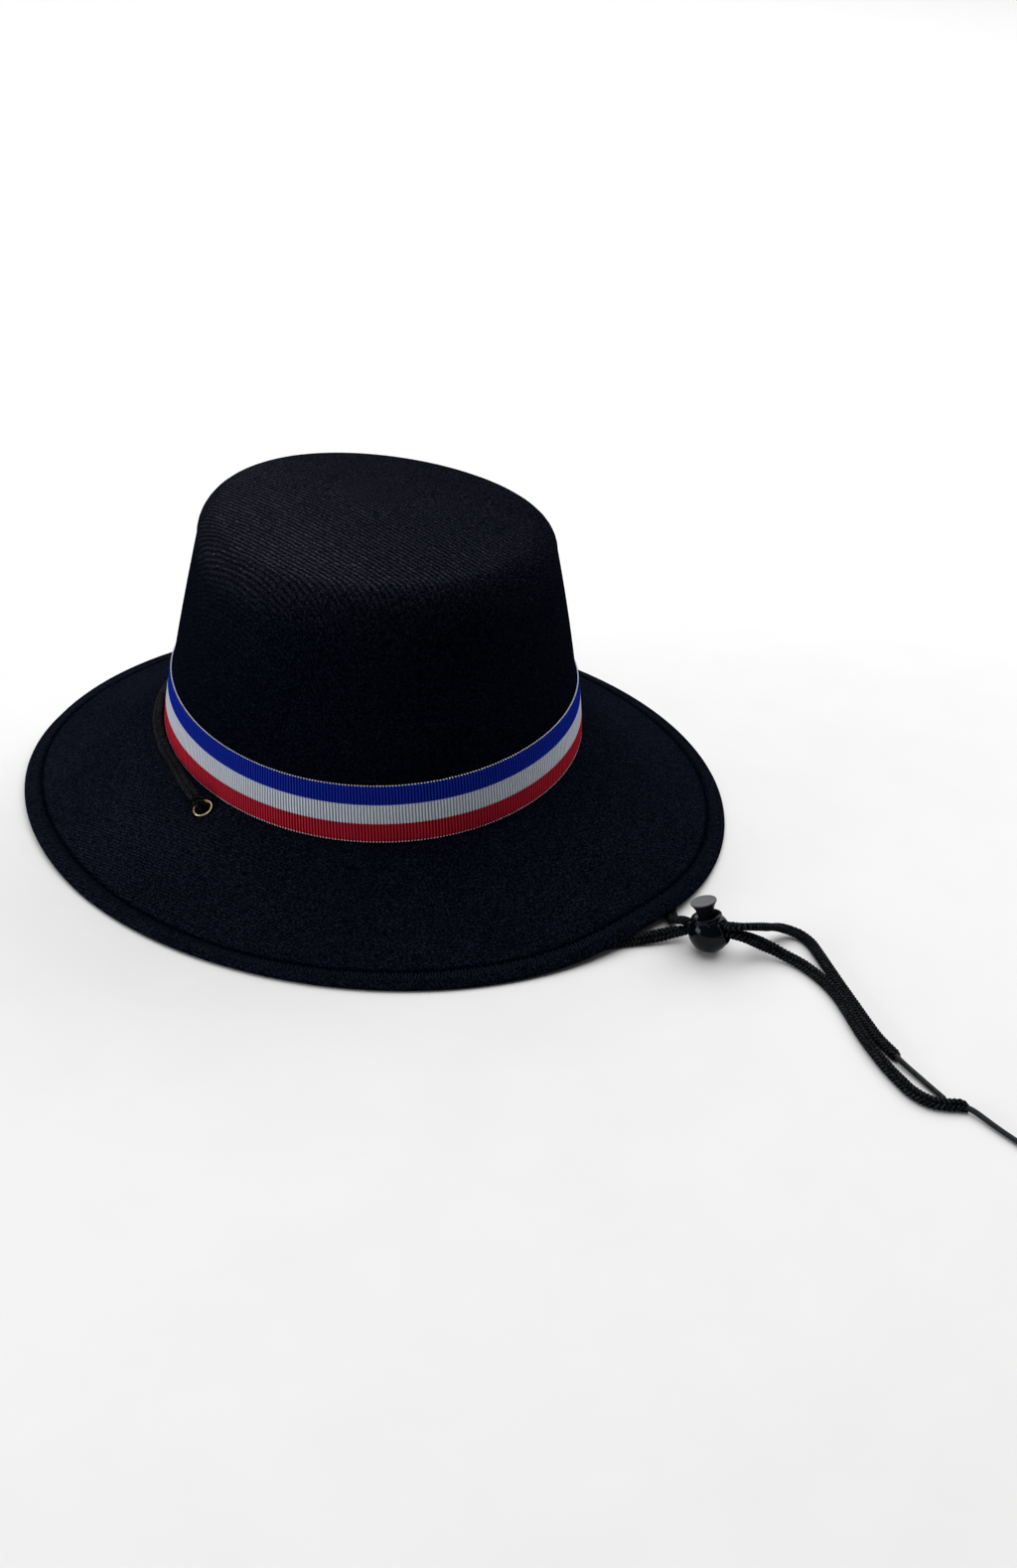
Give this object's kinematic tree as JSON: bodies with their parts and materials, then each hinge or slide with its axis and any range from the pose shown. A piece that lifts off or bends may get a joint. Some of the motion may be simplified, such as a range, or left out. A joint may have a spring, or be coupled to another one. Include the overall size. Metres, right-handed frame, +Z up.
{
  "type": "huaso hat with chin cord",
  "caption": "Low flat-topped riding hat of moulded black cloth with a wide drooping brim, a striped ribbon and a chin cord with a ball lock.",
  "frame": {"origin": "on the surface that the hat stands on, under the middle of the brim's bounding box", "axes": "+Z up through the crown, +Y towards the back of the hat, -X the wearer's right"},
  "size_m": [0.2998, 0.5065, 0.1321],
  "materials": {
    "hat_cloth": "black brushed twill cloth, stiffened and moulded, with a fine diagonal rib",
    "ribbon": "ribbed woven ribbon in three equal stripes, blue above, white, red below",
    "eyelet_brass": "rolled brass eyelet, polished",
    "cord": "soft black braided cord",
    "lock_ball": "glossy black moulded plastic",
    "lock_button": "dark grey satin plastic",
    "cord_tip": "dark grey hard tip, slightly shiny"
  },
  "bodies": {
    "hat": {"hat_body": "hat_cloth", "ribbon": "ribbon", "eyelet_right": "eyelet_brass", "eyelet_left": "eyelet_brass", "cord_round_crown": "cord", "chin_cord_right": "cord", "chin_cord_left": "cord", "cord_lock_ball": "lock_ball", "cord_tip_right": "cord_tip", "cord_tip_left": "cord_tip"},
    "lock_button": {"cord_lock_button": "lock_button"}
  },
  "joints": [
    {"name": "lock_button_press", "type": "slide", "parent": "hat", "child": "lock_button", "axis": [0.0904, -0.2781, -0.9563], "range_m": [0, 0.0022], "stiffness_N_per_m": 1500, "springref_m": -0.001}
  ]
}
